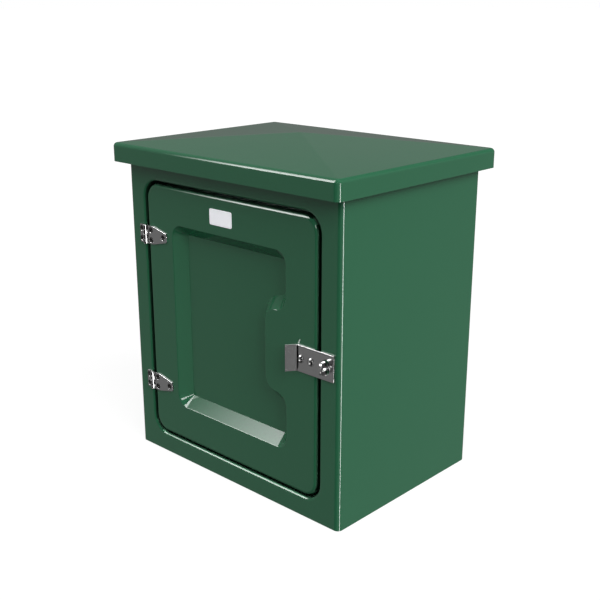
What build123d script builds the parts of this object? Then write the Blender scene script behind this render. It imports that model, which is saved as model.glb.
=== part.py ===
from build123d import *
import math
import os

# Roadside utility cabinet moulded in glass-reinforced plastic, in millimetres.
# Origin: the middle of the base. +Z is up, the door faces -Y, +X is the latch side.

# Body moulding: the doorway, and the stiles and rails left round it, give the front face
aperture_width = 413.0
aperture_height = 474.6
aperture_bottom = 37.0
stile_width = 43.5
top_rail_height = 29.4
body_depth = 355.0
skin = 4.5
body_corner_radius = 9.0
top_flange_width = 34.0
base_flange_width = 45.0
base_hole_inset = 25.0
base_hole_radius = 6.0

# Roof moulding, with four shallow slopes that meet over its middle
roof_side_overhang = 14.0
roof_front_overhang = 25.0
fascia_height = 32.3
roof_rise = 22.4
roof_edge_radius = 7.0
roof_hip_radius = 30.0
roof_corner_radius = 10.0
roof_seal_thickness = 4.0
roof_seal_width = 11.0
roof_seal_inset = 2.0
roof_rim_thickness = 3.8

# Doorway edges and the door in it
aperture_corner_radius = 32.0
aperture_edge_radius = 7.0
door_gap = 3.6
door_proud = 0.3
door_edge_radius = 6.5
door_return = 22.0
lip_width = 18.0
seal_thickness = 5.0
seal_width = 12.0
seal_inset = 1.0
running_gap = 0.3

# Recess in the door, with a land for the latch on its +X side
recess_side_margin = 66.9
recess_end_margin = 65.2
recess_depth = 19.0
recess_corner_radius = 22.0
recess_edge_radius = 2.5
land_width = 47.0
land_height = 139.6

# Hinges
hinge_mid_rise = 1.0
hinge_end_inset = 94.2
hinge_height = 33.0
hinge_knuckles = 4
leaf_thickness = 2.0
knuckle_radius = 3.5
hinge_pin_radius = 1.5
pin_clearance = 0.05
pin_head_radius = 2.6
pin_head_height = 0.8
pin_offset = 0.9
knuckle_gap = 0.3
leaf_notch_gap = 1.2
frame_leaf_reach = 15.8
door_leaf_reach = 57.0
door_leaf_shoulder = 19.5
door_leaf_tip_height = 15.0
frame_screw_x = 10.5
door_screw_near_x = 14.5
door_screw_far_x = 47.5
hinge_screw_spacing = 18.0

# Latch plate on the door
hasp_height = 44.0
hasp_thickness = 2.5
hasp_rise = 2.5
hasp_door_reach = 41.9
hasp_frame_reach = 36.3
pull_length = 20.5
hasp_bend_radius = 2.0
pull_angle = 54.0
hasp_bolt_near = 9.0
hasp_bolt_spacing = 21.5
slot_width = 12.8
slot_height = 25.0

# Turning padlock eye on the frame
eye_x_from_jamb = 17.0
eye_height = 20.6
eye_thickness = 4.5
eye_front = 16.6
eye_plate_gap = 0.5
eye_corner_radius = 4.5
padlock_hole_radius = 4.3
padlock_hole_front = 10.0
neck_radius = 4.75
bush_clearance = 0.05
bush_wall = 1.8
bush_flange_radius = 10.0
bush_flange_thickness = 2.0
eye_thread_radius = 3.9
eye_washer_thickness = 1.6
eye_nut_height = 6.0
eye_nut_across_flats = 13.0

# Backing plates behind the hinges
frame_backing_width = 20.0
door_backing_height = 27.0
backing_margin = 6.0
door_backing_margin = 4.5
backing_thickness = 1.5
backing_corner_radius = 1.5

# Fasteners
fit_clearance = 0.05
screw_radius = 2.45
screw_head_radius = 4.2
countersink_radius = 5.2
screw_hole_radius = 3.4
screw_socket_radius = 1.9
screw_socket_depth = 1.3
nut_across_flats = 8.0
nut_height = 4.0
washer_radius = 4.8
washer_thickness = 1.0
thread_end = 1.5
bolt_head_radius = 6.8
bolt_head_height = 2.6
bolt_rim_height = 0.5
stud_radius = 2.95
stud_disc_radius = 9.0
stud_disc_thickness = 1.5
stud_washer_radius = 8.0
stud_washer_thickness = 1.6
stud_nut_height = 5.0
stud_nut_across_flats = 10.0
stud_reach_share = 0.64
stud_edge_gap = 2.0

# Equipment board on the back wall
board_side_gap = 30.5
board_top_gap = 70.5
board_bottom = 65.0
board_thickness = 12.0
batten_thickness = 20.0
batten_height = 40.0
batten_inset = 35.0
board_screw_inset = 30.0
board_screw_radius = 2.5
board_screw_length = 24.0
board_screw_head_radius = 5.5
board_screw_head_height = 2.5

# Blank label plate
label_width = 55.0
label_height = 28.0
label_thickness = 0.8
label_corner_radius = 3.0
label_x = -11.0
label_drop = 35.6

# Places that follow from the sizes above
body_width = aperture_width + 2 * stile_width
eaves_height = aperture_bottom + aperture_height + top_rail_height
face_y = -body_depth / 2
roof_edge_height = eaves_height + fascia_height
roof_underside = roof_edge_height - roof_rim_thickness
body_height = roof_underside - roof_seal_thickness
door_width = aperture_width - 2 * door_gap
door_height = aperture_height - 2 * door_gap
door_middle = aperture_bottom + aperture_height / 2
door_corner_radius = aperture_corner_radius - door_gap
recess_width = door_width - 2 * recess_side_margin
recess_height = door_height - 2 * recess_end_margin
hinge_spacing = door_height - 2 * hinge_end_inset
board_width = body_width - 2 * skin - 2 * board_side_gap
board_height = body_height - board_bottom - board_top_gap
lip_front = door_proud - door_return - running_gap - seal_thickness
lip_back = lip_front - skin
pin_x = -aperture_width / 2 - pin_offset
hinge_middles = [
    door_middle + hinge_mid_rise + hinge_spacing / 2,
    door_middle + hinge_mid_rise - hinge_spacing / 2,
]
hasp_middle = door_middle + hasp_rise
hasp_left = door_width / 2 - hasp_door_reach
hasp_right = door_width / 2 + hasp_frame_reach
hasp_front = door_proud + hasp_thickness
hasp_bolt_xs = [hasp_left + hasp_bolt_near + i * hasp_bolt_spacing for i in range(2)]
eye_x = aperture_width / 2 + eye_x_from_jamb
bush_radius = neck_radius + bush_clearance + bush_wall
back_y = body_depth / 2 - skin


def front(proud=0.0):
    # Plane on the front face, raised by proud: local x is +X, local y is +Z, local z is outward.
    return Plane(origin=(0, face_y - proud, 0), x_dir=(1, 0, 0), z_dir=(0, -1, 0))


def slab(outline, low, high):
    # The outline on the front face, filled between two heights above that face.
    return extrude(front(low) * outline, amount=high - low)


def place(part, x, z, proud):
    # Stands a fastener, modelled along local z, on the front face.
    return front() * Pos(x, z, proud) * part


def upright_block(width, depth, height, radius, bottom):
    return extrude(Pos(0, 0, bottom) * RectangleRounded(width, depth, radius), amount=height)


def hexagon(across_flats):
    return RegularPolygon(across_flats / 2, 6, major_radius=False)


def disc(radius, low, high):
    return extrude(Pos(0, 0, low) * Circle(radius), amount=high - low)


def nut(across_flats, height, hole):
    # Hexagon nut whose seat is at local z 0 and which grows towards -z.
    return extrude(hexagon(across_flats) - Circle(hole), amount=-height)


def washer(radius, hole, thickness):
    return extrude(Circle(radius) - Circle(hole), amount=-thickness)


def countersunk_screw(length):
    # Socket screw with its head's flat face at local z 0 and its shank along -z.
    drop = screw_head_radius - screw_radius
    head = Pos(0, 0, -drop / 2) * Cone(screw_radius, screw_head_radius, drop)
    shank = disc(screw_radius, -length, -drop)
    socket = extrude(RegularPolygon(screw_socket_radius, 6), amount=-screw_socket_depth)
    return head + shank - socket


def domed_bolt(shank_radius, head_radius, head_height, length):
    # Round domed head with a short upright rim on local z 0, shank along -z.
    crown = head_height - bolt_rim_height
    ball_radius = (head_radius ** 2 + crown ** 2) / (2 * crown)
    ball = Pos(0, 0, head_height - ball_radius) * Sphere(ball_radius)
    head = disc(head_radius, 0, head_height) & ball
    return head + disc(shank_radius, -length, 0)


def aperture(inset):
    # Outline of the door aperture, moved inward by inset.
    return Pos(0, door_middle) * RectangleRounded(
        aperture_width - 2 * inset, aperture_height - 2 * inset, aperture_corner_radius - inset
    )


def base_hole_places():
    x = body_width / 2 - base_hole_inset
    y = body_depth / 2 - base_hole_inset
    return [(i * x, j * y) for i in (-1, 1) for j in (-1, 1)]


def roof_stud_places():
    x = body_width / 2 * stud_reach_share
    y = body_depth / 2 - top_flange_width + stud_disc_radius + stud_edge_gap
    return [(i * x, j * y) for i in (-1, 1) for j in (-1, 1)]


def frame_screw_places():
    x = pin_x - frame_screw_x
    return [(x, z + i * hinge_screw_spacing / 2) for z in hinge_middles for i in (-1, 1)]


def door_screw_places():
    near = pin_x + door_screw_near_x
    far = pin_x + door_screw_far_x
    pairs = [(near, z + i * hinge_screw_spacing / 2) for z in hinge_middles for i in (-1, 1)]
    return pairs + [(far, z) for z in hinge_middles]


def board_screw_places():
    x = board_width / 2 - board_screw_inset
    return [(i * x, z) for i in (-1, 1) for z in batten_middles()]


def batten_middles():
    low = board_bottom + batten_inset
    return [low, board_bottom + board_height - batten_inset]


def make_body_shell():
    # One hollow moulding: four walls, top and base flanges, and the jamb and lip of the doorway.
    outer = upright_block(body_width, body_depth, body_height, body_corner_radius, 0)
    hollow = upright_block(
        body_width - 2 * skin, body_depth - 2 * skin, body_height - 2 * skin,
        body_corner_radius - skin, skin,
    )
    top_hole = upright_block(
        body_width - 2 * top_flange_width, body_depth - 2 * top_flange_width, 2 * skin,
        body_corner_radius, body_height - 1.5 * skin,
    )
    base_hole = upright_block(
        body_width - 2 * base_flange_width, body_depth - 2 * base_flange_width, 2 * skin,
        body_corner_radius, -skin / 2,
    )
    shell = outer - hollow - top_hole - base_hole
    shell += slab(aperture(-skin), 0, lip_back)
    shell -= slab(aperture(0), skin, lip_front)
    shell -= slab(aperture(lip_width), lip_front + skin, lip_back - skin)
    half = aperture_width / 2 + 0.5
    rim = [
        e for e in shell.edges()
        if abs(e.center().Y - face_y) < 0.01
        and abs(e.center().X) < half
        and abs(e.center().Z - door_middle) < aperture_height / 2 + 0.5
    ]
    shell = fillet(rim, aperture_edge_radius)
    shell -= [Pos(x, y, 0) * disc(base_hole_radius, -skin, 2 * skin) for x, y in base_hole_places()]
    lift = body_height - 2 * skin
    hole = disc(stud_radius + 0.4, 0, 3 * skin)
    shell -= [Pos(x, y, lift) * hole for x, y in roof_stud_places()]
    screw_hole = disc(screw_hole_radius, -2 * skin, skin)
    shell -= [place(screw_hole, x, z, 0) for x, z in frame_screw_places()]
    shell -= place(disc(bush_radius + fit_clearance, -2 * skin, skin), eye_x, hasp_middle, 0)
    return shell


def under_slopes(width, depth, low, edge, apex):
    # Block under four slopes: one ridged prism along Y, cut by another along X.
    prisms = []
    for span, length, turn in ((width, depth, 0), (depth, width, 90)):
        half = span / 2
        ends = [(-half, low), (half, low), (half, edge), (0, apex), (-half, edge)]
        gable = Plane.XZ * make_face(Polyline(*ends, close=True))
        prisms.append(Rot(0, 0, turn) * extrude(gable, amount=length / 2, both=True))
    return prisms[0] & prisms[1]


def make_roof_cap():
    # Hipped lid on an upright fascia that hangs clear of the walls as a drip edge.
    width = body_width + 2 * roof_side_overhang
    depth = body_depth + 2 * roof_front_overhang
    apex = roof_edge_height + roof_rise
    outer = under_slopes(width, depth, eaves_height, roof_edge_height, apex)
    hips = [e for e in outer.edges() if e.center().Z > roof_edge_height + 1]
    outer = fillet(hips, roof_hip_radius)
    outer &= upright_block(width, depth, apex, roof_corner_radius, 0)
    level = roof_edge_height - 0.1
    rim = [e for e in outer.edges() if e.center().Z > level and e.bounding_box().size.Z < 1]
    outer = fillet(rim, roof_edge_radius)
    hollow = upright_block(
        width - 2 * skin, depth - 2 * skin, roof_underside - eaves_height,
        roof_corner_radius - skin, eaves_height,
    )
    attic = under_slopes(width, depth, eaves_height, roof_edge_height - skin, apex - skin)
    attic &= upright_block(
        body_width - 2 * top_flange_width, body_depth - 2 * top_flange_width, apex,
        body_corner_radius, 0,
    )
    return outer - hollow - attic


def make_roof_seal():
    outer_width = body_width - 2 * roof_seal_inset
    outer_depth = body_depth - 2 * roof_seal_inset
    radius = body_corner_radius - roof_seal_inset
    outer = upright_block(outer_width, outer_depth, roof_seal_thickness, radius, body_height)
    inner = upright_block(
        outer_width - 2 * roof_seal_width, outer_depth - 2 * roof_seal_width,
        roof_seal_thickness, radius / 2, body_height,
    )
    return outer - inner


def roof_fastener_heights():
    seat = body_height - skin
    nut_seat = seat - stud_washer_thickness
    return seat, nut_seat, nut_seat - stud_nut_height


def make_roof_studs():
    # Flanged studs bonded under the roof, standing down through the body's top flange.
    low = roof_fastener_heights()[2] - thread_end
    plate = disc(stud_disc_radius, roof_underside - stud_disc_thickness, roof_underside)
    stud = plate + disc(stud_radius, low, roof_underside - stud_disc_thickness)
    return [Pos(x, y, 0) * stud for x, y in roof_stud_places()]


def make_roof_washers():
    ring = washer(stud_washer_radius, stud_radius + fit_clearance, stud_washer_thickness)
    seat = roof_fastener_heights()[0]
    return [Pos(x, y, seat) * ring for x, y in roof_stud_places()]


def make_roof_nuts():
    piece = nut(stud_nut_across_flats, stud_nut_height, stud_radius + fit_clearance)
    seat = roof_fastener_heights()[1]
    return [Pos(x, y, seat) * piece for x, y in roof_stud_places()]


def make_door_seal():
    # Soft strip bonded to the lip, with a rounded nose that meets the door's return edge.
    ring = aperture(seal_inset) - aperture(seal_inset + seal_width)
    strip = slab(ring, lip_front, lip_front + seal_thickness)
    nose = strip.edges().group_by(Axis.Y)[0]
    return chamfer(nose, seal_thickness * 0.4)


def recess_outline(inset):
    # Rounded rectangle with a land let in from +X by an S of two equal arcs at each end.
    right = recess_width / 2 - inset
    tall = recess_height - 2 * inset
    pocket = RectangleRounded(recess_width - 2 * inset, tall, recess_corner_radius - inset)
    bend = land_width / 2
    tip_radius = bend + inset
    root_radius = bend - inset
    left = recess_width / 2 - land_width - inset
    half = land_height / 2 + inset
    past = right + bend
    with BuildSketch() as land:
        with BuildLine():
            Line((left, -half + tip_radius), (left, half - tip_radius))
            RadiusArc((left, half - tip_radius), (left + tip_radius, half), tip_radius)
            RadiusArc((left + tip_radius, half), (right, half + root_radius), -root_radius)
            Line((right, half + root_radius), (past, half + root_radius))
            Line((past, half + root_radius), (past, -half - root_radius))
            Line((past, -half - root_radius), (right, -half - root_radius))
            RadiusArc((right, -half - root_radius), (left + tip_radius, -half), -root_radius)
            RadiusArc((left + tip_radius, -half), (left, -half + tip_radius), tip_radius)
        make_face()
    return Pos(0, door_middle) * (pocket - land.sketch)


def make_door_panel():
    # One moulding of even thickness: face, return edge, and the recess dished into the face.
    outline = Pos(0, door_middle) * RectangleRounded(door_width, door_height, door_corner_radius)
    inner = Pos(0, door_middle) * RectangleRounded(
        door_width - 2 * skin, door_height - 2 * skin, door_corner_radius - skin
    )
    block = slab(outline, door_proud - door_return, door_proud)
    block = fillet(block.edges().group_by(Axis.Y)[0], door_edge_radius)
    block -= slab(inner, door_proud - door_return - skin, door_proud - skin)
    miter = skin * (math.sqrt(2) - 1)
    rear_top = front(door_proud - skin) * recess_outline(-miter)
    rear_bottom = front(door_proud - skin - recess_depth) * recess_outline(recess_depth - miter)
    block += loft([rear_top, rear_bottom], ruled=True)
    over = 1.0
    cut_top = front(door_proud + over) * recess_outline(-over)
    cut_bottom = front(door_proud - recess_depth) * recess_outline(recess_depth)
    block -= loft([cut_top, cut_bottom], ruled=True)
    rim_y = face_y - door_proud
    half = recess_width / 2 + 0.5
    rim = [
        e for e in block.edges()
        if abs(e.center().Y - rim_y) < 0.01
        and abs(e.center().X) < half
        and abs(e.center().Z - door_middle) < recess_height / 2 + 0.5
    ]
    block = fillet(rim, recess_edge_radius)
    hole = disc(screw_hole_radius, -2 * skin, skin)
    block -= [place(hole, x, z, 0) for x, z in door_screw_places()]
    bolt_hole = disc(screw_radius + fit_clearance * 4, -2 * skin, skin)
    block -= [place(bolt_hole, x, hasp_middle, 0) for x in hasp_bolt_xs]
    return block


def knuckle_span(middle, index):
    # Lower and upper end of one knuckle, counted from the top of the hinge.
    pitch = hinge_height / hinge_knuckles
    top = middle + hinge_height / 2 - index * pitch - knuckle_gap / 2
    return top - pitch + knuckle_gap, top


def knuckle(middle, index):
    low, high = knuckle_span(middle, index)
    ring = Circle(knuckle_radius) - Circle(hinge_pin_radius + pin_clearance)
    return Pos(pin_x, face_y - knuckle_radius, low) * extrude(ring, amount=high - low)


def pin_bore(middle):
    bore = Circle(hinge_pin_radius + pin_clearance)
    low = middle - hinge_height
    return Pos(pin_x, face_y - knuckle_radius, low) * extrude(bore, amount=2 * hinge_height)


def finger(middle, index, reach, low, high):
    # Strip of leaf between the pin's axis and the leaf, as tall as its knuckle.
    bottom, top = knuckle_span(middle, index)
    strip = Pos(pin_x + reach / 2, (bottom + top) / 2) * Rectangle(abs(reach), top - bottom)
    return slab(strip, low, high)


def countersink(leaf_front):
    # Cone that opens at the leaf's front face, over a clearance hole.
    drop = countersink_radius - screw_hole_radius
    cone = Pos(0, 0, -drop / 2) * Cone(screw_hole_radius, countersink_radius, drop)
    return Pos(0, 0, leaf_front) * (cone + disc(screw_hole_radius, -2 * leaf_thickness, -drop))


def make_frame_leaf(middle):
    notch = knuckle_radius + leaf_notch_gap
    width = frame_leaf_reach - notch
    plate = Pos(pin_x - notch - width / 2, middle) * Rectangle(width, hinge_height)
    leaf = slab(plate, 0, leaf_thickness)
    outer = leaf.edges().filter_by(Axis.Y).group_by(Axis.X)[0]
    leaf = fillet(outer, 2.0)
    for index in range(0, hinge_knuckles, 2):
        leaf += finger(middle, index, -notch - 0.5, 0, leaf_thickness)
        leaf += knuckle(middle, index)
    leaf -= pin_bore(middle)
    for x, z in frame_screw_places():
        if abs(z - middle) < hinge_height / 2:
            leaf -= place(countersink(leaf_thickness), x, z, 0)
    return leaf


def make_door_leaf(middle):
    # Strap that narrows to a rounded tip.
    notch = knuckle_radius + leaf_notch_gap
    half = hinge_height / 2
    tip = door_leaf_tip_height / 2
    start = pin_x + notch
    shoulder = pin_x + door_leaf_shoulder
    end = pin_x + door_leaf_reach
    corners = [
        (start, middle - half), (shoulder, middle - half), (end, middle - tip),
        (end, middle + tip), (shoulder, middle + half), (start, middle + half),
    ]
    plate = make_face(Polyline(*corners, close=True))
    high = door_proud + leaf_thickness
    leaf = slab(plate, door_proud, high)
    upright = leaf.edges().filter_by(Axis.Y)
    shoulders = [e for e in upright if abs(e.center().X - shoulder) < 0.1]
    leaf = fillet(shoulders, hinge_height)
    tips = leaf.edges().filter_by(Axis.Y).group_by(Axis.X)[-1]
    leaf = fillet(tips, tip * 0.6)
    for index in range(1, hinge_knuckles, 2):
        leaf += finger(middle, index, notch + 0.5, door_proud, high)
        leaf += knuckle(middle, index)
    leaf -= pin_bore(middle)
    for x, z in door_screw_places():
        if abs(z - middle) < half:
            leaf -= place(countersink(high), x, z, 0)
    return leaf


def make_hinge_pin(middle):
    # Plain pin with a small formed head at each end.
    length = hinge_height + 2 * running_gap
    head = disc(pin_head_radius, 0, pin_head_height)
    pin = disc(hinge_pin_radius, -length / 2, length / 2)
    pin += Pos(0, 0, length / 2) * head
    pin += Pos(0, 0, -length / 2 - pin_head_height) * head
    return Pos(pin_x, face_y - knuckle_radius, middle) * pin


def screw_head_depth():
    # The heads sit this far below the leaf's face, on the countersink's cone.
    return countersink_radius - screw_head_radius - fit_clearance


def make_screws(places, leaf_front, wall_back):
    length = leaf_front - screw_head_depth() - wall_back + backing_thickness + nut_height + thread_end
    screw = countersunk_screw(length)
    return [place(screw, x, z, leaf_front - screw_head_depth()) for x, z in places]


def make_washers(places, wall_back):
    ring = washer(washer_radius, screw_radius + fit_clearance, washer_thickness)
    return [place(ring, x, z, wall_back) for x, z in places]


def make_nuts(places, seat):
    piece = nut(nut_across_flats, nut_height, screw_radius + fit_clearance)
    return [place(piece, x, z, seat) for x, z in places]


def make_backing(outline, middle, places, wall_back):
    # Plate behind a hinge, drilled for its screws.
    plate = slab(outline, wall_back - backing_thickness, wall_back)
    hole = disc(screw_radius + fit_clearance, wall_back - 2 * backing_thickness, wall_back + 1)
    own = [(x, z) for x, z in places if abs(z - middle) < hinge_height / 2]
    return plate - [place(hole, x, z, 0) for x, z in own]


def make_frame_backing(middle):
    x = pin_x - frame_screw_x - frame_backing_width / 2 + backing_margin
    outline = Pos(x, middle) * RectangleRounded(
        frame_backing_width, hinge_height, backing_corner_radius
    )
    return make_backing(outline, middle, frame_screw_places(), -skin)


def make_door_backing(middle):
    near = pin_x + door_screw_near_x - door_backing_margin
    far = pin_x + door_screw_far_x + backing_margin
    outline = Pos((near + far) / 2, middle) * RectangleRounded(
        far - near, door_backing_height, backing_corner_radius
    )
    return make_backing(outline, middle, door_screw_places(), door_proud - skin)


def make_hasp_plate():
    # Flat latch plate, bent outward at its free end as a finger pull.
    lean = math.radians(pull_angle)
    miter = hasp_thickness * math.tan(lean / 2)
    back_y = face_y - door_proud
    front_y = back_y - hasp_thickness
    tip_x = hasp_left - pull_length * math.cos(lean)
    tip_y = back_y - pull_length * math.sin(lean)
    profile = Polyline(
        (hasp_right, back_y), (hasp_left, back_y), (tip_x, tip_y),
        (tip_x + hasp_thickness * math.sin(lean), tip_y - hasp_thickness * math.cos(lean)),
        (hasp_left + miter, front_y), (hasp_right, front_y), close=True,
    )
    low = hasp_middle - hasp_height / 2
    plate = extrude(Pos(0, 0, low) * make_face(profile), amount=hasp_height, dir=(0, 0, 1))
    uprights = plate.edges().filter_by(Axis.Z)
    inside = [e for e in uprights if abs(e.center().X - hasp_left - miter) < 0.01]
    plate = fillet(inside, hasp_bend_radius)
    outside = [e for e in plate.edges().filter_by(Axis.Z) if abs(e.center().X - hasp_left) < 0.01]
    plate = fillet(outside, hasp_bend_radius + hasp_thickness)
    corner = plate.edges().filter_by(Axis.Y).group_by(Axis.X)[-1]
    plate = fillet(corner, 1.5)
    slot = Pos(eye_x, hasp_middle) * SlotOverall(slot_height, slot_width, rotation=90)
    plate -= slab(slot, 0, 2 * hasp_front)
    hole = disc(screw_radius + fit_clearance, 0, 2 * hasp_front)
    plate -= [place(hole, x, hasp_middle, 0) for x in hasp_bolt_xs]
    return plate


def make_hasp_bolts():
    length = hasp_front - door_proud + skin + washer_thickness + nut_height + thread_end
    bolt = domed_bolt(screw_radius, bolt_head_radius, bolt_head_height, length)
    return [place(bolt, x, hasp_middle, hasp_front) for x in hasp_bolt_xs]


def hasp_places():
    return [(x, hasp_middle) for x in hasp_bolt_xs]


def make_staple_eye():
    # Flat eye welded to the spindle: upright it passes the slot, and turned across it locks.
    base = hasp_front + eye_plate_gap
    height = eye_front - base
    blade = Rectangle(eye_height, height)
    blade = fillet(blade.vertices().group_by(Axis.Y)[-1], eye_corner_radius)
    blade -= Pos(0, padlock_hole_front - base - height / 2) * Circle(padlock_hole_radius)
    solid = extrude(blade, amount=eye_thickness / 2, both=True)
    # The blade's own x runs up the cabinet, and its own y points out of the face.
    upright = Plane(
        origin=(eye_x, face_y - base - height / 2, hasp_middle), x_dir=(0, 0, 1), z_dir=(1, 0, 0)
    )
    return upright * solid


def make_staple_spindle():
    # Turned neck that carries the eye through the slot and the wall, with a threaded tail.
    base = hasp_front + eye_plate_gap
    shoulder = bush_back() - running_gap
    tail = shoulder - eye_washer_thickness - eye_nut_height - thread_end
    spindle = disc(neck_radius, shoulder, base) + disc(eye_thread_radius, tail, shoulder)
    return place(spindle, eye_x, hasp_middle, 0)


def bush_back():
    return -skin - bush_flange_thickness


def make_staple_bush():
    # Flanged bush: its barrel lines the wall, and its flange bears on the inside.
    bore = neck_radius + bush_clearance
    barrel = extrude(Pos(0, 0, -skin) * (Circle(bush_radius) - Circle(bore)), amount=skin)
    flange = washer(bush_flange_radius, bore, bush_flange_thickness)
    return place(barrel + Pos(0, 0, -skin) * flange, eye_x, hasp_middle, 0)


def make_staple_washer():
    ring = washer(bush_flange_radius - 1, eye_thread_radius + fit_clearance, eye_washer_thickness)
    return place(ring, eye_x, hasp_middle, bush_back() - running_gap)


def make_staple_nut():
    piece = nut(eye_nut_across_flats, eye_nut_height, eye_thread_radius + fit_clearance)
    seat = bush_back() - running_gap - eye_washer_thickness
    return place(piece, eye_x, hasp_middle, seat)


def make_batten(middle):
    section = Rectangle(board_width - 10, batten_height)
    batten = extrude(wall_plane(0) * Pos(0, middle) * section, amount=batten_thickness)
    hole = extrude(Circle(board_screw_radius + fit_clearance), amount=batten_thickness)
    x = board_width / 2 - board_screw_inset
    return batten - [wall_plane(0) * Pos(i * x, middle) * hole for i in (-1, 1)]


def wall_plane(proud):
    # Plane on the inside of the back wall, facing the door.
    return Plane(origin=(0, back_y - proud, 0), x_dir=(1, 0, 0), z_dir=(0, -1, 0))


def make_backboard():
    outline = Pos(0, board_bottom + board_height / 2) * RectangleRounded(board_width, board_height, 6)
    board = extrude(wall_plane(batten_thickness) * outline, amount=board_thickness)
    hole = extrude(Circle(board_screw_radius + fit_clearance), amount=board_thickness)
    seat = wall_plane(batten_thickness)
    return board - [seat * Pos(x, z) * hole for x, z in board_screw_places()]


def make_backboard_screws():
    seat = wall_plane(batten_thickness + board_thickness)
    screw = disc(board_screw_radius, -board_screw_length, 0)
    screw += disc(board_screw_head_radius, 0, board_screw_head_height)
    return [seat * Pos(x, z) * screw for x, z in board_screw_places()]


def make_label_plate():
    middle = door_middle + door_height / 2 - label_drop
    outline = Pos(label_x, middle) * RectangleRounded(label_width, label_height, label_corner_radius)
    return slab(outline, door_proud, door_proud + label_thickness)


def build_nodes():
    frame_places = frame_screw_places()
    door_places = door_screw_places()
    door_back = door_proud - skin
    door_leaf_front = door_proud + leaf_thickness
    nodes = {
        "body_shell": make_body_shell(),
        "roof_cap": make_roof_cap(),
        "roof_seal": make_roof_seal(),
        "roof_studs": make_roof_studs(),
        "roof_washers": make_roof_washers(),
        "roof_nuts": make_roof_nuts(),
        "door_seal": make_door_seal(),
        "door_panel": make_door_panel(),
        "hinge_frame_screws": make_screws(frame_places, leaf_thickness, -skin),
        "hinge_frame_nuts": make_nuts(frame_places, -skin - backing_thickness),
        "hinge_door_screws": make_screws(door_places, door_leaf_front, door_back),
        "hinge_door_nuts": make_nuts(door_places, door_back - backing_thickness),
        "hasp_plate": make_hasp_plate(),
        "hasp_bolts": make_hasp_bolts(),
        "hasp_washers": make_washers(hasp_places(), door_back),
        "hasp_nuts": make_nuts(hasp_places(), door_back - washer_thickness),
        "label_plate": make_label_plate(),
        "staple_eye": make_staple_eye(),
        "staple_spindle": make_staple_spindle(),
        "staple_bush": make_staple_bush(),
        "staple_washer": make_staple_washer(),
        "staple_nut": make_staple_nut(),
        "backboard": make_backboard(),
        "backboard_screws": make_backboard_screws(),
    }
    for name, middle in zip(("upper", "lower"), hinge_middles):
        nodes[name + "_hinge_frame_leaf"] = make_frame_leaf(middle)
        nodes[name + "_hinge_door_leaf"] = make_door_leaf(middle)
        nodes[name + "_hinge_pin"] = make_hinge_pin(middle)
        nodes[name + "_hinge_frame_backing"] = make_frame_backing(middle)
        nodes[name + "_hinge_door_backing"] = make_door_backing(middle)
    for name, middle in zip(("lower", "upper"), batten_middles()):
        nodes[name + "_batten"] = make_batten(middle)
    return nodes


def one_shape(piece):
    return Compound(children=piece) if isinstance(piece, list) else piece


os.makedirs("parts", exist_ok=True)
for node, piece in build_nodes().items():
    export_step(one_shape(piece), "parts/" + node + ".step")
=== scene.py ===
"""Looks of a roadside utility cabinet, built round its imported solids.

Lengths are metres in the frame of the solids: +Z is up, the door faces -Y and the latch is on +X.
"""

from __future__ import annotations

import logging
import math
from dataclasses import dataclass, field
from enum import Enum

import bmesh
import bpy
import numpy as np
from mathutils import Matrix, Vector


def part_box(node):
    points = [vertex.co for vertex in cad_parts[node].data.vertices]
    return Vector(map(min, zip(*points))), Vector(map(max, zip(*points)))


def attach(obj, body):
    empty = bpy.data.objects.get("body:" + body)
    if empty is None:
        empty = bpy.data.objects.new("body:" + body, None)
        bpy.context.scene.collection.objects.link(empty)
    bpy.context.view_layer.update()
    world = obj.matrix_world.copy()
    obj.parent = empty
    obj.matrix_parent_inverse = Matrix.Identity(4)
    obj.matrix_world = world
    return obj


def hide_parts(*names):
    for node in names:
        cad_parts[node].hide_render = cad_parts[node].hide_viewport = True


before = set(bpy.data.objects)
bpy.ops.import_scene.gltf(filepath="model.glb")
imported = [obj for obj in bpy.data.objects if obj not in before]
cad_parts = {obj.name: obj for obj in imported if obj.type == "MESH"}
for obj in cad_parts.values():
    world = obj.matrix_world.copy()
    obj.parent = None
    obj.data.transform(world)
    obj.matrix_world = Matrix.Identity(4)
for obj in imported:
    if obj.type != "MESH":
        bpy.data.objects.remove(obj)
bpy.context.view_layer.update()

Node = bpy.types.Node
Tree = bpy.types.NodeTree
Socket = bpy.types.NodeSocket
Object = bpy.types.Object
Triple = tuple[float, float, float]
Colour = Triple
Input = float | tuple[float, ...] | Socket

LOG = logging.getLogger("cabinet")
MM = 0.001
ORIGIN = (0.0, 0.0, 0.0)
EDGE_CUT = 0.12 * MM


# Shader graphs


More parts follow.
